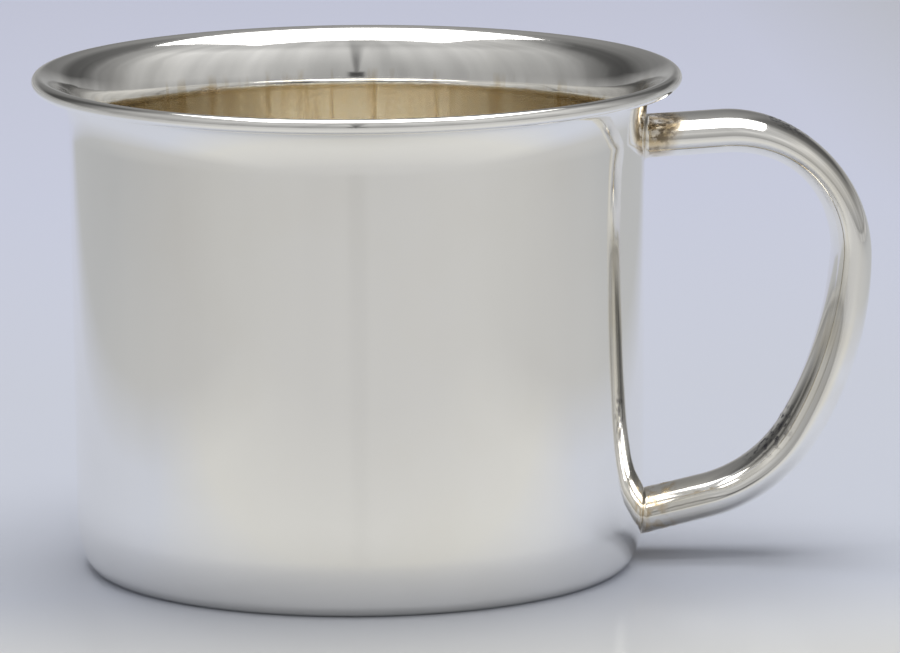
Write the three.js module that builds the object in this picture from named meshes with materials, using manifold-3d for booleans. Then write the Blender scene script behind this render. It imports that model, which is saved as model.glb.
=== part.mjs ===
// Juice cup: a spun silver cup with a flared mouth, a wire round its edge and a bent oval bar for a handle.
// Millimetres, +Z up. The origin is on the cup's axis at its flat base, and the handle points to +X.

import * as THREE from 'three';
import { mergeVertices } from 'three/addons/utils/BufferGeometryUtils.js';
import Module from 'manifold-3d';

const wasm = await Module();
wasm.setup();

// Sizes of the cup, measured outside
const CUP_HEIGHT = 53.8;
const WALL_RADIUS_LOW = 30.7;
const WALL_RADIUS_HIGH = 30.95;
const SHEET = 0.7;
const CORNER_IN = 2.2;
const CORNER_UP = 6.2;

// Sizes of the flared mouth: a soft curve above the wall, then a tight one at the lip. Each has the radius
// of its outer hollow side and how far it turns.
const FLARE_RADIUS = 8.8;
const FLARE_TURN = THREE.MathUtils.degToRad(28);
const LIP_RADIUS = 3.55;
const LIP_TURN = THREE.MathUtils.degToRad(46);
const RIM_WIRE_DIAMETER = 1.66;

// Sizes of the handle, along the middle of its bar from the upper joint to the lower one. The bar is an oval,
// wider than it is thick. It is thinner in the middle of its upper bend and thicker in the middle of its back.
const BAR_WIDTH = 8.8;
const BAR_THICKNESS = 4.6;
const UPPER_BEND_THICKNESS = 3.9;
const BACK_BEND_THICKNESS = 4.9;
const UPPER_JOINT_BELOW_EDGE = 7.75;
const LOWER_JOINT_HEIGHT = 4.75;
const UPPER_RUN_RISE = THREE.MathUtils.degToRad(2.7);
const UPPER_RUN = 8.6;
const UPPER_BEND_RADIUS = 13.45;
const UPPER_BEND_TURN = THREE.MathUtils.degToRad(95);
const BACK_BEND_TURN = THREE.MathUtils.degToRad(29);
const LOWER_BEND_RADIUS = 16;
const LOWER_RUN_DROP = THREE.MathUtils.degToRad(12.5);

// Sizes of the solder rings where the bar meets the wall, and the gap left between pieces cut to fit
const SOLDER_WIDTH = 0.7;
const SOLDER_REACH = 1;
const FIT_GAP = 0.3;

// Steps of the round shapes
const TURN_STEPS = 96;
const CURVE_STEPS = 8;
const WIRE_STEPS = 18;
const BAR_SIDES = 28;
const BAR_STEPS = 64;

const wireRadius = RIM_WIRE_DIAMETER / 2;
const halfWidth = BAR_WIDTH / 2;
const halfThickness = BAR_THICKNESS / 2;

// From a centre outside the wall to the sheet, where the sheet has turned from upright
function towardsSheet(turn) {
  return new THREE.Vector2(-Math.cos(turn), Math.sin(turn));
}

// The flare's two centres lie outside the wall. The wire lies just under the inner face of the lip, and its
// top is at the cup's height.
const fullTurn = FLARE_TURN + LIP_TURN;
const flareToLip = towardsSheet(FLARE_TURN).multiplyScalar(FLARE_RADIUS - LIP_RADIUS);
const lipToWire = towardsSheet(fullTurn).multiplyScalar(LIP_RADIUS + SHEET - wireRadius);
const flareStart = CUP_HEIGHT - wireRadius - flareToLip.y - lipToWire.y;
const flareCentre = new THREE.Vector2(WALL_RADIUS_HIGH + FLARE_RADIUS, flareStart);
const lipCentre = flareCentre.clone().add(flareToLip);
const wireCentre = lipCentre.clone().add(lipToWire);

function ovalPoints(centre, radiusX, radiusY, from, to, steps) {
  const points = [];
  for (let i = 0; i <= steps; i++) {
    const angle = from + (to - from) * i / steps;
    const place = new THREE.Vector2(radiusX * Math.cos(angle), radiusY * Math.sin(angle));
    points.push(place.add(centre));
  }
  return points;
}

function arcPoints(centre, radius, from, to, steps) {
  return ovalPoints(centre, radius, radius, from, to, steps);
}

// One face of the cup's sheet from the base to the lip, moved out by grow or in by a negative grow
function sheetFace(grow) {
  const cornerCentre = new THREE.Vector2(WALL_RADIUS_LOW - CORNER_IN, CORNER_UP);
  const corner = ovalPoints(cornerCentre, CORNER_IN + grow, CORNER_UP + grow, -Math.PI / 2, 0, CURVE_STEPS);
  const flare = arcPoints(flareCentre, FLARE_RADIUS - grow, Math.PI, Math.PI - FLARE_TURN, CURVE_STEPS);
  const lip = arcPoints(lipCentre, LIP_RADIUS - grow, Math.PI - FLARE_TURN, Math.PI - fullTurn, CURVE_STEPS);
  return [...corner, ...flare, ...lip.slice(1)];
}

function spin(profile) {
  const geometry = new THREE.LatheGeometry(profile, TURN_STEPS);
  geometry.rotateX(Math.PI / 2);
  return geometry;
}

function toSolid(geometry) {
  const plain = geometry.clone();
  plain.deleteAttribute('normal');
  plain.deleteAttribute('uv');
  const merged = mergeVertices(plain, 1e-4);
  const mesh = new wasm.Mesh({
    numProp: 3,
    vertProperties: Float32Array.from(merged.attributes.position.array),
    triVerts: Uint32Array.from(merged.index.array),
  });
  return new wasm.Manifold(mesh);
}

function toGeometry(solid) {
  const mesh = solid.getMesh();
  const geometry = new THREE.BufferGeometry();
  geometry.setAttribute('position', new THREE.BufferAttribute(Float32Array.from(mesh.vertProperties), 3));
  geometry.setIndex(new THREE.BufferAttribute(Uint32Array.from(mesh.triVerts), 1));
  geometry.computeVertexNormals();
  return geometry;
}

// Cup: one spun sheet with a flat base, a rounded corner, the wall, the flared mouth and its lip

function cupBody() {
  const outside = sheetFace(0);
  const inside = sheetFace(-SHEET).reverse();
  const middleOfBase = [new THREE.Vector2(0, 0)];
  const middleOfFloor = [new THREE.Vector2(0, SHEET)];
  return spin([...middleOfBase, ...outside, ...inside, ...middleOfFloor]);
}

// Rim wire: a round wire under the lip, notched to take the edge of the sheet

function rimWire() {
  const seam = Math.PI - fullTurn;
  const section = arcPoints(wireCentre, wireRadius, seam, seam + 2 * Math.PI, WIRE_STEPS);
  return toGeometry(toSolid(spin(section)).subtract(toSolid(cupBody())));
}

// The space inside the cup's outer face, grown by a gap, as a solid to cut with
function cupSpace(grow) {
  const face = sheetFace(grow);
  const below = new THREE.Vector2(0, -grow);
  const above = new THREE.Vector2(0, face.at(-1).y);
  return toSolid(spin([below, ...face, above]));
}

// Handle: the middle line of its bar is three bends between two straight runs. The back bend's radius and
// the lower run's length follow from the rest, so that the bar meets the wall at both joints.

const runInsideWall = SHEET + halfWidth;
const upperJoint = new THREE.Vector2(WALL_RADIUS_HIGH, CUP_HEIGHT - UPPER_JOINT_BELOW_EDGE);
const lowerJoint = new THREE.Vector2(WALL_RADIUS_LOW, LOWER_JOINT_HEIGHT);

const backBendHeading = UPPER_RUN_RISE - UPPER_BEND_TURN;
const lowerBendHeading = backBendHeading - BACK_BEND_TURN;
const lowerRunHeading = LOWER_RUN_DROP - Math.PI;

function towards(heading) {
  return new THREE.Vector2(Math.cos(heading), Math.sin(heading));
}

// How far a bend of radius 1 gets as it turns down from one heading to the next
function bendSpan(from, to) {
  return new THREE.Vector2(Math.sin(from) - Math.sin(to), Math.cos(to) - Math.cos(from));
}

const upperBendSpan = bendSpan(UPPER_RUN_RISE, backBendHeading);
const backBendSpan = bendSpan(backBendHeading, lowerBendHeading);
const lowerBendSpan = bendSpan(lowerBendHeading, lowerRunHeading);
const lowerRunWay = towards(lowerRunHeading);
const wayLeft = lowerJoint.clone()
  .sub(upperJoint)
  .addScaledVector(towards(UPPER_RUN_RISE), -UPPER_RUN)
  .addScaledVector(upperBendSpan, -UPPER_BEND_RADIUS)
  .addScaledVector(lowerBendSpan, -LOWER_BEND_RADIUS);
const backBendRadius = wayLeft.cross(lowerRunWay) / backBendSpan.cross(lowerRunWay);
const lowerRun = backBendSpan.cross(wayLeft) / backBendSpan.cross(lowerRunWay);

const upperRunLength = runInsideWall + UPPER_RUN;
const upperBendLength = UPPER_BEND_RADIUS * UPPER_BEND_TURN;
const backBendLength = backBendRadius * BACK_BEND_TURN;
const lowerBendTurn = lowerBendHeading - lowerRunHeading;
const lowerBendLength = LOWER_BEND_RADIUS * lowerBendTurn;

const stretches = [
  { length: upperRunLength, turn: 0 },
  { length: upperBendLength, turn: UPPER_BEND_TURN },
  { length: backBendLength, turn: BACK_BEND_TURN },
  { length: lowerBendLength, turn: lowerBendTurn },
  { length: lowerRun + runInsideWall, turn: 0 },
];
const barLength = stretches.reduce((sum, stretch) => sum + stretch.length, 0);

// Where the bar's middle line is at a distance along it, and which way it heads
function barLineAt(distance) {
  const place = upperJoint.clone().addScaledVector(towards(UPPER_RUN_RISE), -runInsideWall);
  let heading = UPPER_RUN_RISE;
  let left = distance;
  for (const { length, turn } of stretches) {
    const along = Math.min(left, length);
    const turned = turn * along / length;
    const chord = turned > 0 ? 2 * (length / turn) * Math.sin(turned / 2) : along;
    place.addScaledVector(towards(heading - turned / 2), chord);
    heading -= turned;
    left -= along;
  }
  return { place, heading };
}

// The thickness changes from one place to the next: the end of the upper run, then the middle of each bend
const upperBendMiddle = upperRunLength + upperBendLength / 2;
const backBendMiddle = upperRunLength + upperBendLength + backBendLength / 2;
const lowerBendMiddle = upperRunLength + upperBendLength + backBendLength + lowerBendLength / 2;

const thicknessChanges = [
  { from: upperRunLength, to: upperBendMiddle, half: UPPER_BEND_THICKNESS / 2 },
  { from: upperBendMiddle, to: backBendMiddle, half: BACK_BEND_THICKNESS / 2 },
  { from: backBendMiddle, to: lowerBendMiddle, half: halfThickness },
];

function halfThicknessAt(distance) {
  let here = halfThickness;
  for (const { from, to, half } of thicknessChanges) {
    here = THREE.MathUtils.lerp(here, half, THREE.MathUtils.smoothstep(distance, from, to));
  }
  return here;
}

// A straight round bar of radius 1, whose rings are then made oval and moved onto the bar's middle line
function bentBar() {
  const profile = [new THREE.Vector2(0, 0)];
  for (let i = 0; i <= BAR_STEPS; i++) {
    profile.push(new THREE.Vector2(1, barLength * i / BAR_STEPS));
  }
  profile.push(new THREE.Vector2(0, barLength));
  const bar = new THREE.LatheGeometry(profile, BAR_SIDES);
  const points = bar.attributes.position;
  for (let i = 0; i < points.count; i++) {
    const distance = points.getY(i);
    const { place, heading } = barLineAt(distance);
    const across = points.getX(i) * halfThicknessAt(distance);
    const x = place.x - across * Math.sin(heading);
    const z = place.y + across * Math.cos(heading);
    points.setXYZ(i, x, points.getZ(i) * halfWidth, z);
  }
  return bar;
}

function handle() {
  return toGeometry(toSolid(bentBar()).subtract(cupSpace(FIT_GAP)));
}

// Solder rings: a band round the end of the bar that follows the wall

function straightBar(joint, slope, grow, length) {
  const bar = new THREE.CylinderGeometry(1, 1, length, BAR_SIDES * 2);
  bar.rotateZ(-Math.PI / 2);
  bar.scale(1, halfWidth + grow, halfThickness + grow);
  bar.rotateY(-slope);
  bar.translate(joint.x, 0, joint.y);
  return toSolid(bar);
}

function solderRing(joint, slope) {
  const length = 2 * (halfWidth + FIT_GAP + SOLDER_WIDTH);
  return toGeometry(straightBar(joint, slope, FIT_GAP + SOLDER_WIDTH, length)
    .intersect(cupSpace(FIT_GAP + SOLDER_REACH))
    .subtract(cupSpace(FIT_GAP))
    .subtract(straightBar(joint, slope, FIT_GAP, length)));
}

// Finishes, and the group of named pieces

const silver = { color: 0xdcdad2, roughness: 0.12, metalness: 1 };
const solder = { color: 0xc9c2b0, roughness: 0.28, metalness: 1 };

function piece(name, geometry, finish) {
  const mesh = new THREE.Mesh(geometry, new THREE.MeshStandardMaterial(finish));
  mesh.name = name;
  return mesh;
}

const juiceCup = new THREE.Group();
juiceCup.add(
  piece('cup_body', cupBody(), silver),
  piece('rim_wire', rimWire(), silver),
  piece('handle', handle(), silver),
  piece('upper_solder_ring', solderRing(upperJoint, UPPER_RUN_RISE), solder),
  piece('lower_solder_ring', solderRing(lowerJoint, LOWER_RUN_DROP), solder),
);

export default juiceCup;
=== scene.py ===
"""Juice cup: a polished silver cup with a flared mouth and a D-shaped bar handle, on a pale floor.

Metres, +Z up, in the frame of the CAD model: the origin is on the cup's axis at its base, and the handle
points to +X.
"""

from collections import namedtuple
from math import cos, hypot, pi, radians, sin, sqrt, tan

import bpy
from mathutils import Matrix, Vector


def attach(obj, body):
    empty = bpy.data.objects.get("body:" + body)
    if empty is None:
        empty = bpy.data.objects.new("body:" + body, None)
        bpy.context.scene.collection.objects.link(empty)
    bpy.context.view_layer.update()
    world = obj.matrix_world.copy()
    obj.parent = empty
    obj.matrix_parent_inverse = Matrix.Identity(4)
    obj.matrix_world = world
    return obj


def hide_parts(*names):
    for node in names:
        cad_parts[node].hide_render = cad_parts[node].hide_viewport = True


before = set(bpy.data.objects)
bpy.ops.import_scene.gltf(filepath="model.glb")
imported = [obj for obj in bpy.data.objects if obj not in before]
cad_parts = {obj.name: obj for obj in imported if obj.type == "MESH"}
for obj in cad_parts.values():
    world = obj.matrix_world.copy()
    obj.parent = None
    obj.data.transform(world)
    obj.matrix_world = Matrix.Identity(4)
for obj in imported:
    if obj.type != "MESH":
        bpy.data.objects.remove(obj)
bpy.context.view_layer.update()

MM = 0.001

# The photograph's width, in pixels
PHOTO_WIDE = 900

# The camera: where it stands from the middle of the cup, and how it is turned from facing it. It stands a
# little to the left, so that the handle points slightly away from it.
CAMERA_DISTANCE = 870 * MM
CAMERA_LEFT = radians(4.2)
CAMERA_RISE = radians(10.338)
CAMERA_TURN_RIGHT = radians(0.65)
CAMERA_TURN_UP = radians(-0.018)
CAMERA_ROLL = radians(-0.493)
AIM_HEIGHT = 26 * MM
FOCAL_PIXELS = 8045
SENSOR_WIDE = 36

# Sizes of the cup, measured outside
CUP_HEIGHT = 53.8 * MM
WALL_RADIUS_LOW = 30.7 * MM
WALL_RADIUS_HIGH = 30.95 * MM
SHEET = 0.7 * MM
CORNER_IN = 2.2 * MM
CORNER_UP = 6.2 * MM
FLARE_RADIUS = 8.8 * MM
FLARE_TURN = radians(28)
LIP_RADIUS = 3.55 * MM
LIP_TURN = radians(46)
RIM_WIRE_RADIUS = 0.83 * MM

# Sizes of the handle, along the middle of its oval bar
BAR_WIDTH = 8.8 * MM
BAR_THICKNESS = 4.6 * MM
UPPER_BEND_THICKNESS = 3.9 * MM
BACK_BEND_THICKNESS = 4.9 * MM
UPPER_JOINT_BELOW_EDGE = 7.75 * MM
LOWER_JOINT_HEIGHT = 4.75 * MM
UPPER_RUN_RISE = radians(2.7)
UPPER_RUN = 8.6 * MM
UPPER_BEND_RADIUS = 13.45 * MM
UPPER_BEND_TURN = radians(95)
BACK_BEND_TURN = radians(29)
LOWER_BEND_RADIUS = 16 * MM
LOWER_RUN_DROP = radians(12.5)

# Solder at the joints: how far it runs along the wall and along the bar
FILLET_WALL = 0.55 * MM
FILLET_BAR = 0.5 * MM

# Steps of the round shapes
TURN_STEPS = 256
BASE_STEPS = 6
CURVE_STEPS = 24
BAR_SIDES = 96
BAR_STEPS = 220
FILLET_STEPS = 8
SHARP_ANGLE = radians(35)


# Materials

# Patterns of noise over the object: how it is stretched along X, Y and Z, its scale and its detail
Pattern = namedtuple("Pattern", "stretch scale detail")
CLOUDS = Pattern((1, 1, 1), 90, 4)
SMEARS = Pattern((1, 1, 0.25), 160, 5)
WAVES = Pattern((1, 1, 0.12), 260, 2)
SCRATCHES = Pattern((1, 1, 9), 900, 2)
STREAKS = Pattern((1, 1, 0.04), 600, 3)

# From where to where in a pattern's values it takes hold
SMEARED = (0.3, 0.75)
STREAKED = (0.54, 0.66)

WAVE_HEIGHT = 2e-5
SCRATCH_HEIGHT = 4e-7
SMEAR_ROUGHNESS = 1.8
STAIN_ROUGHNESS = 0.3

# Spots of colour round a point: full within one distance, none beyond another, from the noise's values
Stain = namedtuple("Stain", "centre full none scale spots_from spots_to colour")


class Nodes:
    """A material's node tree, with short calls to add and link nodes."""

    def __init__(self, name):
        self.material = bpy.data.materials.new(name)
        self.material.use_nodes = True
        self.tree = self.material.node_tree
        self.shader = self.tree.nodes["Principled BSDF"]

    def add(self, kind, **values):
        """A new node, with values for its inputs or its settings."""
        node = self.tree.nodes.new(kind)
        for key, value in values.items():
            if key in node.inputs:
                node.inputs[key].default_value = value
            else:
                setattr(node, key, value)
        return node

    def link(self, start, end):
        self.tree.links.new(start, end)

    def noise(self, pattern):
        """Noise over the object's own coordinates."""
        place = self.add("ShaderNodeTexCoord")
        mapping = self.add("ShaderNodeMapping", Scale=pattern.stretch)
        self.link(place.outputs["Object"], mapping.inputs["Vector"])
        noise = self.add("ShaderNodeTexNoise", Scale=pattern.scale, Detail=pattern.detail)
        self.link(mapping.outputs["Vector"], noise.inputs["Vector"])
        return noise.outputs["Fac"]

    def ramp(self, value, stops):
        """A colour or grey ramp over a value: stops are (position, colour) pairs."""
        node = self.add("ShaderNodeValToRGB")
        elements = node.color_ramp.elements
        while len(elements) < len(stops):
            elements.new(0.5)
        for element, (position, colour) in zip(elements, stops):
            element.position = position
            element.color = (*colour, 1) if isinstance(colour, tuple) else (colour, colour, colour, 1)
        self.link(value, node.inputs["Fac"])
        return node.outputs["Color"]

    def from_to(self, value, limits):
        """0 up to the first limit of a value, 1 from the second on."""
        start, end = limits
        return self.ramp(value, [(start, 0.0), (end, 1.0)])

    def mix(self, factor, first, second):
        node = self.add("ShaderNodeMix", data_type="RGBA")
        self.link(factor, node.inputs["Factor"])
        for socket, value in ((node.inputs["A"], first), (node.inputs["B"], second)):
            if isinstance(value, tuple):
                socket.default_value = (*value, 1)
            else:
                self.link(value, socket)
        return node.outputs["Result"]

    def bump(self, height, distance, before=None):
        node = self.add("ShaderNodeBump", Distance=distance, Strength=1.0)
        self.link(height, node.inputs["Height"])
        if before:
            self.link(before, node.inputs["Normal"])
        return node.outputs["Normal"]

    def fade(self, value, full, none):
        """1 where a value is at full, 0 where it is at none, and even between them."""
        node = self.add("ShaderNodeMapRange")
        self.link(value, node.inputs["Value"])
        node.inputs["From Min"].default_value = full
        node.inputs["From Max"].default_value = none
        node.inputs["To Min"].default_value = 1.0
        node.inputs["To Max"].default_value = 0.0
        return node.outputs["Result"]

    def times(self, first, second):
        node = self.add("ShaderNodeMath", operation="MULTIPLY")
        self.link(first, node.inputs[0])
        self.link(second, node.inputs[1])
        return node.outputs["Value"]

    def near(self, centre, full, none):
        """1 within the distance full of a point of the object's own space, 0 beyond the distance none."""
        place = self.add("ShaderNodeTexCoord")
        away = self.add("ShaderNodeVectorMath", operation="DISTANCE")
        self.link(place.outputs["Object"], away.inputs[0])
        away.inputs[1].default_value = centre
        return self.fade(away.outputs["Value"], full, none)

    def inside_cup(self):
        """1 on the inner face of the cup's wall, 0 on its outer face and in the corner."""
        place = self.add("ShaderNodeTexCoord")
        level = self.add("ShaderNodeVectorMath", operation="MULTIPLY")
        self.link(place.outputs["Object"], level.inputs[0])
        level.inputs[1].default_value = (1, 1, 0)
        radius = self.add("ShaderNodeVectorMath", operation="LENGTH")
        self.link(level.outputs["Vector"], radius.inputs[0])
        parts = self.add("ShaderNodeSeparateXYZ")
        self.link(place.outputs["Object"], parts.inputs["Vector"])
        inner_face, outer_face = WALL_RADIUS_LOW - 0.6 * SHEET, WALL_RADIUS_LOW - 0.2 * SHEET
        inner = self.fade(radius.outputs["Value"], inner_face, outer_face)
        return self.times(inner, self.fade(parts.outputs["Z"], CORNER_UP, 0.8 * CORNER_UP))


def silver(name, clean, tarnished, tarnish, roughness, stains=(), streaks=None):
    """Polished silver: fine scratches, a soft unevenness, a little tarnish, and spots of colour round some
    points.

    Streaks are the colour of the upright bands on the cup's inner wall.
    """
    nodes = Nodes(name)
    nodes.shader.inputs["Metallic"].default_value = 1.0
    colour = nodes.mix(nodes.from_to(nodes.noise(CLOUDS), tarnish), clean, tarnished)
    smooth_at, rough_at = SMEARED
    rough = nodes.ramp(nodes.noise(SMEARS), [(smooth_at, roughness), (rough_at, roughness * SMEAR_ROUGHNESS)])
    if streaks:
        bands = nodes.from_to(nodes.noise(STREAKS), STREAKED)
        colour = nodes.mix(nodes.times(nodes.inside_cup(), bands), colour, streaks)
    for stain in stains:
        spots = nodes.noise(Pattern((1, 1, 1), stain.scale, 3))
        spots = nodes.from_to(spots, (stain.spots_from, stain.spots_to))
        stained = nodes.times(nodes.near(stain.centre, stain.full, stain.none), spots)
        colour = nodes.mix(stained, colour, stain.colour)
        rough = nodes.mix(stained, rough, (STAIN_ROUGHNESS,) * 3)
    nodes.link(colour, nodes.shader.inputs["Base Color"])
    nodes.link(rough, nodes.shader.inputs["Roughness"])
    normal = nodes.bump(nodes.noise(WAVES), WAVE_HEIGHT)
    normal = nodes.bump(nodes.noise(SCRATCHES), SCRATCH_HEIGHT, before=normal)
    nodes.link(normal, nodes.shader.inputs["Normal"])
    return nodes.material


# Meshes

def mesh_object(name, points, faces, material):
    """A smooth mesh in the scene, with sharp edges where its faces meet steeply."""
    mesh = bpy.data.meshes.new(name)
    mesh.from_pydata(points, [], faces)
    mesh.validate()
    mesh.update()
    mesh.polygons.foreach_set("use_smooth", [True] * len(mesh.polygons))
    mesh.set_sharp_from_angle(angle=SHARP_ANGLE)
    mesh.materials.append(material)
    piece = bpy.data.objects.new(name, mesh)
    bpy.context.scene.collection.objects.link(piece)
    return piece


def spin(profile, closed):
    """Points and faces of a profile of (radius, height) turned about the axis."""
    points = []
    rings = []
    for radius, height in profile:
        if radius == 0:
            rings.append([len(points)])
            points.append((0, 0, height))
            continue
        rings.append(list(range(len(points), len(points) + TURN_STEPS)))
        for i in range(TURN_STEPS):
            angle = 2 * pi * i / TURN_STEPS
            points.append((radius * cos(angle), radius * sin(angle), height))
    faces = []
    pairs = list(zip(rings, rings[1:]))
    if closed:
        pairs.append((rings[-1], rings[0]))
    for low, high in pairs:
        for i in range(TURN_STEPS):
            j = (i + 1) % TURN_STEPS
            if len(low) == 1:
                faces.append((low[0], high[j], high[i]))
            elif len(high) == 1:
                faces.append((low[i], low[j], high[0]))
            else:
                faces.append((low[i], low[j], high[j], high[i]))
    return points, faces


def arc(centre_x, centre_y, radius_x, radius_y, start, end, steps):
    angles = [start + (end - start) * i / steps for i in range(steps + 1)]
    return [(centre_x + radius_x * cos(a), centre_y + radius_y * sin(a)) for a in angles]


# Cup: the spun sheet and the wire round its edge

def towards_sheet(turn, radius):
    """The way from a centre outside the wall to the sheet, where the sheet has turned from upright."""
    return Vector((-cos(turn), sin(turn))) * radius


full_turn = FLARE_TURN + LIP_TURN
flare_to_lip = towards_sheet(FLARE_TURN, FLARE_RADIUS - LIP_RADIUS)
lip_to_wire = towards_sheet(full_turn, LIP_RADIUS + SHEET - RIM_WIRE_RADIUS)
flare_start = CUP_HEIGHT - RIM_WIRE_RADIUS - flare_to_lip.y - lip_to_wire.y
flare_centre = Vector((WALL_RADIUS_HIGH + FLARE_RADIUS, flare_start))
lip_centre = flare_centre + flare_to_lip
wire_centre = lip_centre + lip_to_wire


def sheet_face(grow):
    """One face of the sheet from the base to the lip, moved out by grow."""
    corner = arc(WALL_RADIUS_LOW - CORNER_IN, CORNER_UP, CORNER_IN + grow, CORNER_UP + grow,
                 -pi / 2, 0, CURVE_STEPS)
    flare = arc(*flare_centre, FLARE_RADIUS - grow, FLARE_RADIUS - grow, pi, pi - FLARE_TURN, CURVE_STEPS)
    lip = arc(*lip_centre, LIP_RADIUS - grow, LIP_RADIUS - grow, pi - FLARE_TURN, pi - full_turn, CURVE_STEPS)
    low, high = corner[-1], flare[0]
    wall = [(low[0] + (high[0] - low[0]) * t, low[1] + (high[1] - low[1]) * t)
            for t in [k / CURVE_STEPS for k in range(1, CURVE_STEPS)]]
    return corner + wall + flare + lip[1:]


def wall_radius(height):
    """The outer radius of the cup's wall at a height, in the corner and on the wall."""
    if height < CORNER_UP:
        rise = (CORNER_UP - height) / CORNER_UP
        return WALL_RADIUS_LOW - CORNER_IN * (1 - sqrt(max(0.0, 1 - rise * rise)))
    if height > flare_start:
        rise = (height - flare_start) / FLARE_RADIUS
        return WALL_RADIUS_HIGH + FLARE_RADIUS * (1 - sqrt(1 - rise * rise))
    along = (height - CORNER_UP) / (flare_start - CORNER_UP)
    return WALL_RADIUS_LOW + (WALL_RADIUS_HIGH - WALL_RADIUS_LOW) * along


def cup_shell(material):
    rings_out = [(WALL_RADIUS_LOW - CORNER_IN) * k / BASE_STEPS for k in range(1, BASE_STEPS)]
    base = [(0, 0)] + [(r, 0) for r in rings_out]
    floor = [(r, SHEET) for r in reversed(rings_out)] + [(0, SHEET)]
    profile = base + sheet_face(0) + sheet_face(-SHEET)[::-1] + floor
    return mesh_object("cup_shell", *spin(profile, closed=False), material)


def rim_bead(material):
    seam = pi - full_turn
    section = arc(*wire_centre, RIM_WIRE_RADIUS, RIM_WIRE_RADIUS, seam, seam + 2 * pi, 3 * CURVE_STEPS)
    return mesh_object("rim_bead", *spin(section[:-1], closed=True), material)


# Handle: an oval bar along two straight runs and three bends. The back bend's radius and the lower run's
# length follow from the rest, so that the bar meets the wall at both joints.

run_inside_wall = BAR_WIDTH / 2 + SHEET
upper_joint = Vector((WALL_RADIUS_HIGH, CUP_HEIGHT - UPPER_JOINT_BELOW_EDGE))
lower_joint = Vector((WALL_RADIUS_LOW, LOWER_JOINT_HEIGHT))
back_bend_heading = UPPER_RUN_RISE - UPPER_BEND_TURN
lower_bend_heading = back_bend_heading - BACK_BEND_TURN
lower_run_heading = LOWER_RUN_DROP - pi


def towards(heading):
    return Vector((cos(heading), sin(heading)))


def bend_span(start, end):
    """How far a bend of radius 1 gets as it turns down from one heading to the next."""
    return Vector((sin(start) - sin(end), cos(end) - cos(start)))


def cross(first, second):
    return first.x * second.y - first.y * second.x


way_left = (lower_joint - upper_joint
            - towards(UPPER_RUN_RISE) * UPPER_RUN
            - bend_span(UPPER_RUN_RISE, back_bend_heading) * UPPER_BEND_RADIUS
            - bend_span(lower_bend_heading, lower_run_heading) * LOWER_BEND_RADIUS)
back_span = bend_span(back_bend_heading, lower_bend_heading)
lower_way = towards(lower_run_heading)
back_bend_radius = cross(way_left, lower_way) / cross(back_span, lower_way)
lower_run = cross(back_span, way_left) / cross(back_span, lower_way)
lower_bend_turn = lower_bend_heading - lower_run_heading

stretches = [
    (run_inside_wall + UPPER_RUN, 0),
    (UPPER_BEND_RADIUS * UPPER_BEND_TURN, UPPER_BEND_TURN),
    (back_bend_radius * BACK_BEND_TURN, BACK_BEND_TURN),
    (LOWER_BEND_RADIUS * lower_bend_turn, lower_bend_turn),
    (lower_run + run_inside_wall, 0),
]
lengths = [length for length, turn in stretches]
bar_length = sum(lengths)

# The thickness changes from one place to the next: the end of the upper run, then the middle of each bend
upper_bend_middle = lengths[0] + lengths[1] / 2
back_bend_middle = lengths[0] + lengths[1] + lengths[2] / 2
lower_bend_middle = lengths[0] + lengths[1] + lengths[2] + lengths[3] / 2
thickness_changes = [
    (lengths[0], upper_bend_middle, UPPER_BEND_THICKNESS),
    (upper_bend_middle, back_bend_middle, BACK_BEND_THICKNESS),
    (back_bend_middle, lower_bend_middle, BAR_THICKNESS),
]


def thickness_at(distance):
    here = BAR_THICKNESS
    for start, end, thickness in thickness_changes:
        t = min(1.0, max(0.0, (distance - start) / (end - start)))
        here += (thickness - here) * t * t * (3 - 2 * t)
    return here


def bar_place(distance):
    """Where the bar's middle line is at a distance along it, and its heading, in the plane of X and Z."""
    place = upper_joint - towards(UPPER_RUN_RISE) * run_inside_wall
    heading = UPPER_RUN_RISE
    left = distance
    for length, turn in stretches:
        along = min(left, length)
        turned = turn * along / length
        chord = 2 * (length / turn) * sin(turned / 2) if turned > 0 else along
        place += towards(heading - turned / 2) * chord
        heading -= turned
        left -= along
    return place.x, place.y, heading


# The search for the wall: the longest way to it, and how often that is halved
LONGEST_WAY = 12 * MM
HALVINGS = 40


def meet_wall(start, direction, sink):
    """Where a line that starts outside the cup meets its wall, sunk into the sheet."""
    near, far = 0.0, LONGEST_WAY
    for _ in range(HALVINGS):
        middle = (near + far) / 2
        point = start + direction * middle
        if hypot(point.x, point.y) > wall_radius(point.z) - sink:
            near = middle
        else:
            far = middle
    return start + direction * far


def bar_ring(distance, grow=0.0):
    """Points of an oval ring round the bar's middle line, moved out by grow."""
    x, z, heading = bar_place(distance)
    across = Vector((-sin(heading), 0, cos(heading))) * (thickness_at(distance) / 2 + grow)
    side = Vector((0, 1, 0)) * (BAR_WIDTH / 2 + grow)
    angles = [2 * pi * k / BAR_SIDES for k in range(BAR_SIDES)]
    return [Vector((x, 0, z)) + across * cos(angle) + side * sin(angle) for angle in angles]


def end_ring(distance, grow, sink):
    """A ring of the bar's surface carried along its end run to the wall."""
    heading = bar_place(distance)[2]
    inward = -1 if distance < bar_length / 2 else 1
    direction = Vector((cos(heading), 0, sin(heading))) * inward
    return [meet_wall(point, direction, sink) for point in bar_ring(distance, grow)]


upper_run_from = run_inside_wall + UPPER_RUN / 2
lower_run_to = bar_length - run_inside_wall - lower_run / 2


def bridge(rings, wrap):
    """Faces between rings of equal length, from the first to the last."""
    starts = [r * BAR_SIDES for r in range(rings)]
    pairs = list(zip(starts, starts[1:]))
    if wrap:
        pairs.append((starts[-1], starts[0]))
    faces = []
    for here, there in pairs:
        for k in range(BAR_SIDES):
            n = (k + 1) % BAR_SIDES
            faces.append((here + k, there + k, there + n, here + n))
    return faces


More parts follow.
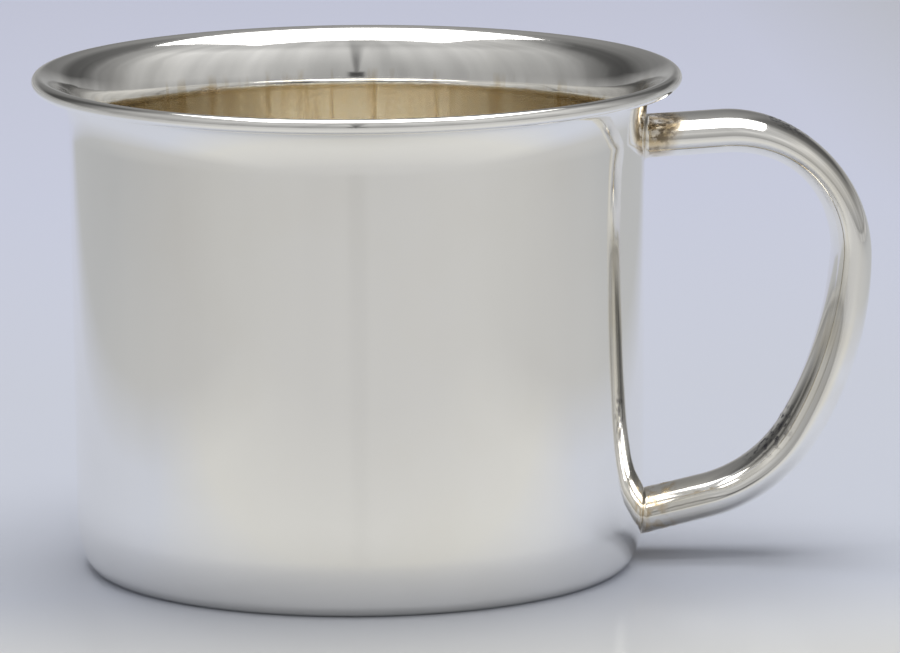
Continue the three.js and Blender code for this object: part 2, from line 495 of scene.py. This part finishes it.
def handle_bar(material):
    rings = [end_ring(upper_run_from, 0, SHEET / 3)]
    for i in range(BAR_STEPS + 1):
        rings.append(bar_ring(upper_run_from + (lower_run_to - upper_run_from) * i / BAR_STEPS))
    rings.append(end_ring(lower_run_to, 0, SHEET / 3))
    points = [tuple(point) for ring in rings for point in ring]
    faces = bridge(len(rings), wrap=False)
    faces.append(tuple(range(BAR_SIDES)))
    last = (len(rings) - 1) * BAR_SIDES
    faces.append(tuple(reversed(range(last, last + BAR_SIDES))))
    return mesh_object("handle_bar", points, faces, material)


def solder_fillet(name, distance, material):
    """A hollow fillet of solder between the bar and the wall."""
    sink = SHEET / 4
    corner = end_ring(distance, 0, 0)
    heading = bar_place(distance)[2]
    outward = Vector((cos(heading), 0, sin(heading))) * (1 if distance < bar_length / 2 else -1)
    along_bar = [point + outward * FILLET_BAR for point in corner]
    along_wall = end_ring(distance, FILLET_WALL, 0)
    rings = []
    for i in range(FILLET_STEPS + 1):
        turn = pi / 2 * i / FILLET_STEPS
        rings.append([k + (a - k) * (1 - sin(turn)) + (b - k) * (1 - cos(turn))
                      for k, a, b in zip(corner, along_bar, along_wall)])
    rings.append(end_ring(distance, FILLET_WALL, sink))
    rings.append(end_ring(distance, -sink, sink))
    rings.append([point + outward * FILLET_BAR for point in end_ring(distance, -sink, 0)])
    points = [tuple(point) for ring in rings for point in ring]
    return mesh_object(name, points, bridge(len(rings), wrap=True), material)


# Where the spots are, and their colours: gold and brown tarnish at the joints, and dark grey speckles on the
# outer side of the upper bend and on the inner side of the lower bend
at_upper_joint = (upper_joint.x, 0, upper_joint.y)
at_lower_joint = (lower_joint.x, 0, lower_joint.y)
over_upper_run = (upper_joint.x + 0.6 * MM, -2 * MM, upper_joint.y + 1.6 * MM)
over_upper_bend = (47.3 * MM, 0.4 * MM, 48.4 * MM)
in_lower_bend = (43.6 * MM, -1 * MM, 14.4 * MM)
GOLD = (0.66, 0.52, 0.32)
BROWN = (0.24, 0.19, 0.13)
GREY = (0.16, 0.155, 0.18)


def cup_silver():
    clean, tarnished, streaks = (0.964, 0.951, 0.917), (0.94, 0.92, 0.87), (0.84, 0.77, 0.64)
    stains = [Stain(at_upper_joint, 4.2 * MM, 6.8 * MM, 600, 0.35, 0.6, GOLD),
              Stain(at_lower_joint, 4.4 * MM, 5.8 * MM, 900, 0.42, 0.65, GOLD)]
    return silver("cup_silver", clean, tarnished, (0.5, 0.95), 0.05, stains, streaks)


def handle_silver():
    clean, tarnished = (0.955, 0.94, 0.90), (0.88, 0.83, 0.72)
    stains = [Stain(over_upper_run, 2.8 * MM, 4.2 * MM, 450, 0.25, 0.5, GOLD),
              Stain(over_upper_run, 2.6 * MM, 3.8 * MM, 1500, 0.46, 0.56, BROWN),
              Stain(at_lower_joint, 4.4 * MM, 5.2 * MM, 900, 0.42, 0.65, GOLD),
              Stain(over_upper_bend, 2.7 * MM, 4.0 * MM, 2200, 0.46, 0.55, GREY),
              Stain(in_lower_bend, 2.6 * MM, 4.6 * MM, 1300, 0.5, 0.62, GREY)]
    return silver("handle_silver", clean, tarnished, (0.5, 0.8), 0.05, stains)


def solder_silver():
    clean, tarnished = (0.90, 0.86, 0.77), (0.80, 0.72, 0.58)
    return silver("solder_silver", clean, tarnished, (0.35, 0.7), 0.12)


of_cup, of_handle, of_solder = cup_silver(), handle_silver(), solder_silver()

pieces = [
    (cup_shell(of_cup), "cup_body", "cup_silver"),
    (rim_bead(of_cup), "rim_wire", "cup_silver"),
    (handle_bar(of_handle), "handle", "handle_silver"),
    (solder_fillet("upper_fillet", upper_run_from, of_solder), "upper_solder_ring", "solder_silver"),
    (solder_fillet("lower_fillet", lower_run_to, of_solder), "lower_solder_ring", "solder_silver"),
]
for piece, node, slot in pieces:
    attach(piece, "root")
    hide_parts(node)


# Stage: a floor, which ends where the tent begins

FLOOR_FRONT = -0.42
FLOOR_BACK = 0.8
FLOOR_HALF = 0.6
FLOOR_ROUGHNESS = 0.17
FLOOR_SPECULAR = 0.3
FLOOR_SHEEN = 0.3

# The floor's colour from front to back (millimetres of Y), in the middle and at the sides. Its colour holds
# painted light and shade: it is darker at the sides and in a band in front that the cup's wall mirrors, and
# bluer where the cup's shadow falls.
MIDDLE_TONES_AND_SHADE = [(-300, (0.68, 0.68, 0.68)), (-140, (0.625, 0.625, 0.625)), (-55, (0.68, 0.68, 0.667)),
                (-15, (0.61, 0.64, 0.725)), (100, (0.585, 0.61, 0.695)), (240, (0.575, 0.60, 0.723)),
                (430, (0.578, 0.598, 0.727))]
SIDE_TONES_AND_SHADE = [(-300, (0.70, 0.70, 0.70)), (-140, (0.615, 0.615, 0.61)), (-60, (0.555, 0.555, 0.555)),
              (100, (0.49, 0.50, 0.515))]
MIDDLE_HALF = 90 * MM
SIDES_FROM = 140 * MM


def floor_tone_and_shade(nodes, back, tones_and_shade):
    """The colour, with its painted light and shade, at a distance back along Y, from a list of tones."""
    nearest, farthest = tones_and_shade[0][0], tones_and_shade[-1][0]
    along = nodes.fade(back, farthest * MM, nearest * MM)
    return nodes.ramp(along, [((y - nearest) / (farthest - nearest), tone_and_shade) for y, tone_and_shade in tones_and_shade])


def floor_material():
    """Pale and matt, with painted light and shade in its colour, and a share of soft sheen."""
    nodes = Nodes("floor_sweep")
    place = nodes.add("ShaderNodeTexCoord")
    parts = nodes.add("ShaderNodeSeparateXYZ")
    nodes.link(place.outputs["Object"], parts.inputs["Vector"])
    aside = nodes.add("ShaderNodeMath", operation="ABSOLUTE")
    nodes.link(parts.outputs["X"], aside.inputs[0])
    middle = floor_tone_and_shade(nodes, parts.outputs["Y"], MIDDLE_TONES_AND_SHADE)
    sides = floor_tone_and_shade(nodes, parts.outputs["Y"], SIDE_TONES_AND_SHADE)
    # The floor's colour with its painted light and shade: the middle's tones, turning to the darker tones of
    # the sides
    tone_and_shade = nodes.mix(nodes.fade(aside.outputs["Value"], SIDES_FROM, MIDDLE_HALF), middle, sides)
    nodes.link(tone_and_shade, nodes.shader.inputs["Base Color"])
    nodes.shader.inputs["Roughness"].default_value = FLOOR_ROUGHNESS
    nodes.shader.inputs["Specular IOR Level"].default_value = FLOOR_SPECULAR
    matt = nodes.add("ShaderNodeBsdfDiffuse")
    nodes.link(tone_and_shade, matt.inputs["Color"])
    sheen = nodes.add("ShaderNodeMixShader", Fac=FLOOR_SHEEN)
    nodes.link(matt.outputs["BSDF"], sheen.inputs[1])
    nodes.link(nodes.shader.outputs["BSDF"], sheen.inputs[2])
    nodes.link(sheen.outputs["Shader"], nodes.tree.nodes["Material Output"].inputs["Surface"])
    return nodes.material


def floor():
    points = [(-FLOOR_HALF, FLOOR_FRONT, 0), (FLOOR_HALF, FLOOR_FRONT, 0),
              (FLOOR_HALF, FLOOR_BACK, 0), (-FLOOR_HALF, FLOOR_BACK, 0)]
    mesh_object("floor", points, [(0, 1, 2, 3)], floor_material())


floor()


# Light: a soft box overhead, in a pale tent with a thin dark horizon, a dark zone behind the cup on either
# side, and an opening for the camera

SOFTBOX_HEIGHT = 0.8
SOFTBOX_LEFT = radians(-22)
SOFTBOX_RIGHT = radians(26)
SOFTBOX_FRONT = radians(14)
SOFTBOX_BACK = radians(33.5)
SOFTBOX_RADIANCE = 3.2

# The tent's brightness by how far up, and its share by the angle to the right of the camera
TENT_BY_HEIGHT = [(-90, 0.30), (-5, 0.48), (-0.6, 0.48), (-0.2, 0.28), (0.4, 0.28), (2, 0.36), (15, 0.385),
                  (25, 0.43), (35, 0.51), (43, 0.58), (52, 0.48), (62, 0.52), (90, 0.45)]
TENT_BY_SIDE = [(-180, 0.58), (-158, 0.40), (-143, 0.17), (-127, 0.22), (-112, 0.55), (-90, 0.85),
                (-50, 0.98), (0, 1.0), (25, 1.10), (55, 1.35), (80, 1.35), (100, 1.18), (115, 0.85),
                (130, 0.52), (145, 0.22), (158, 0.24), (167, 0.45), (180, 0.58)]

# The sides' share is full between two heights, and fades out downwards and upwards
TENT_SIDES_BELOW = (13, 4)
TENT_SIDES_ABOVE = (44, 62)

# The tent's folds: how many, how deep, how far they lean, and the noise's values that they run between
FOLDS = 5.0
FOLD_DEPTH = 0.15
FOLD_LEAN = 0.1
FOLD_NOISE = (0.3, 0.7)

# The tent's opening for the camera widens upwards: its edge by the sideways way over the way up, and its
# share of the tent's brightness at the foot and at the top. The camera itself is a dark spot at its foot.
OPENING_EDGE = (0.03, 0.085)
OPENING_FROM = radians(30)
OPENING_TO = radians(62)
OPENING_LEVELS = (0.35, 0.72)
OPENING_IN_FRONT = (0.1, -0.1)
SPOT_EDGE = (radians(2.5), radians(4.5))
SPOT_LEVEL = 0.15


def softbox():
    """A level panel over the cup, given by the angles from straight up to its four edges."""
    left, right = SOFTBOX_HEIGHT * tan(SOFTBOX_LEFT), SOFTBOX_HEIGHT * tan(SOFTBOX_RIGHT)
    front, back = -SOFTBOX_HEIGHT * tan(SOFTBOX_FRONT), SOFTBOX_HEIGHT * tan(SOFTBOX_BACK)
    lamp = bpy.data.lights.new("softbox", "AREA")
    lamp.shape = "RECTANGLE"
    lamp.size = right - left
    lamp.size_y = back - front
    lamp.energy = SOFTBOX_RADIANCE * pi * lamp.size * lamp.size_y
    box = bpy.data.objects.new("softbox", lamp)
    turned = Matrix.Rotation(-CAMERA_LEFT, 4, "Z")
    box.matrix_world = turned @ Matrix.Translation(((left + right) / 2, (front + back) / 2, SOFTBOX_HEIGHT))
    bpy.context.scene.collection.objects.link(box)


def tent():
    """A world whose brightness follows the angle up and the angle round from the camera."""
    world = bpy.data.worlds.new("tent")
    world.use_nodes = True
    tree = world.node_tree

    def add(kind, *inputs, **settings):
        node = tree.nodes.new(kind)
        for key, value in settings.items():
            setattr(node, key, value)
        for socket, value in zip(node.inputs, inputs):
            if isinstance(value, (int, float)):
                socket.default_value = value
            else:
                tree.links.new(value, socket)
        return node

    def sums(operation, *inputs):
        return add("ShaderNodeMath", *inputs, operation=operation).outputs[0]

    def stretch(value, *limits):
        return add("ShaderNodeMapRange", value, *limits).outputs["Result"]

    def by_angle(value, levels):
        low, high = radians(levels[0][0]), radians(levels[-1][0])
        peak = max(level for angle, level in levels)
        node = add("ShaderNodeValToRGB", stretch(value, low, high))
        elements = node.color_ramp.elements
        while len(elements) < len(levels):
            elements.new(0.5)
        for element, (angle, level) in zip(elements, levels):
            element.position = (radians(angle) - low) / (high - low)
            element.color = (*[level / peak] * 3, 1)
        return sums("MULTIPLY", node.outputs["Color"], peak)

    place = add("ShaderNodeTexCoord")
    x, y, z = add("ShaderNodeSeparateXYZ", place.outputs["Generated"]).outputs
    up = sums("ARCSINE", z)
    side = sums("ADD", sums("ARCTAN2", x, sums("MULTIPLY", y, -1.0)), CAMERA_LEFT)
    side_level = by_angle(side, TENT_BY_SIDE)
    for fade_from, fade_to in (TENT_SIDES_BELOW, TENT_SIDES_ABOVE):
        even = stretch(up, radians(fade_from), radians(fade_to))
        side_level = sums("ADD", side_level, sums("MULTIPLY", sums("SUBTRACT", 1.0, side_level), even))
    lean = sums("MULTIPLY", up, FOLD_LEAN)
    fold_place = add("ShaderNodeCombineXYZ", sums("SINE", side), sums("COSINE", side), lean)
    folds = add("ShaderNodeTexNoise", fold_place.outputs[0])
    folds.inputs["Scale"].default_value = FOLDS
    fold_level = stretch(folds.outputs["Fac"], *FOLD_NOISE, 1 - FOLD_DEPTH, 1 + FOLD_DEPTH)
    across = sums("ABSOLUTE", sums("DIVIDE", sums("SINE", side), sums("TANGENT", up)))
    opening = stretch(across, *OPENING_EDGE, stretch(up, OPENING_FROM, OPENING_TO, *OPENING_LEVELS), 1.0)
    from_camera = sums("MAXIMUM", sums("ABSOLUTE", side), sums("ABSOLUTE", sums("SUBTRACT", up, CAMERA_RISE)))
    opening = sums("MINIMUM", opening, stretch(from_camera, *SPOT_EDGE, SPOT_LEVEL, 1.0))
    opening = sums("MAXIMUM", opening, stretch(sums("COSINE", side), *OPENING_IN_FRONT))
    level = by_angle(up, TENT_BY_HEIGHT)
    for share in (side_level, fold_level, opening):
        level = sums("MULTIPLY", level, share)
    tree.links.new(level, tree.nodes["Background"].inputs["Color"])
    tree.nodes["Background"].inputs["Strength"].default_value = 1.0
    bpy.context.scene.world = world


softbox()
tent()


# Camera

def make_camera():
    aim = Vector((0, 0, AIM_HEIGHT))
    front = Vector((-sin(CAMERA_LEFT), -cos(CAMERA_LEFT), 0))
    eye = aim + CAMERA_DISTANCE * (front * cos(CAMERA_RISE) + Vector((0, 0, sin(CAMERA_RISE))))
    look = (aim - eye).normalized()
    right = Vector((-front.y, front.x, 0))
    up = right.cross(look)
    turned_look = look * cos(CAMERA_TURN_RIGHT) + right * sin(CAMERA_TURN_RIGHT)
    turned_right = right * cos(CAMERA_TURN_RIGHT) - look * sin(CAMERA_TURN_RIGHT)
    tipped_look = turned_look * cos(CAMERA_TURN_UP) + up * sin(CAMERA_TURN_UP)
    tipped_up = up * cos(CAMERA_TURN_UP) - turned_look * sin(CAMERA_TURN_UP)
    rolled_right = turned_right * cos(CAMERA_ROLL) + tipped_up * sin(CAMERA_ROLL)
    rolled_up = tipped_up * cos(CAMERA_ROLL) - turned_right * sin(CAMERA_ROLL)
    data = bpy.data.cameras.new("photo_camera")
    data.sensor_width = SENSOR_WIDE
    data.lens = FOCAL_PIXELS * SENSOR_WIDE / PHOTO_WIDE
    camera = bpy.data.objects.new("photo_camera", data)
    axes = Matrix((rolled_right, rolled_up, -tipped_look)).transposed()
    camera.matrix_world = Matrix.Translation(eye) @ axes.to_4x4()
    bpy.context.scene.collection.objects.link(camera)
    bpy.context.scene.camera = camera


make_camera()

# The warm inside of the cup comes from about ten reflections of its own wall
scene = bpy.context.scene
scene.view_settings.view_transform = "Standard"
scene.cycles.max_bounces = 32
scene.cycles.glossy_bounces = 28
scene.cycles.diffuse_bounces = 4
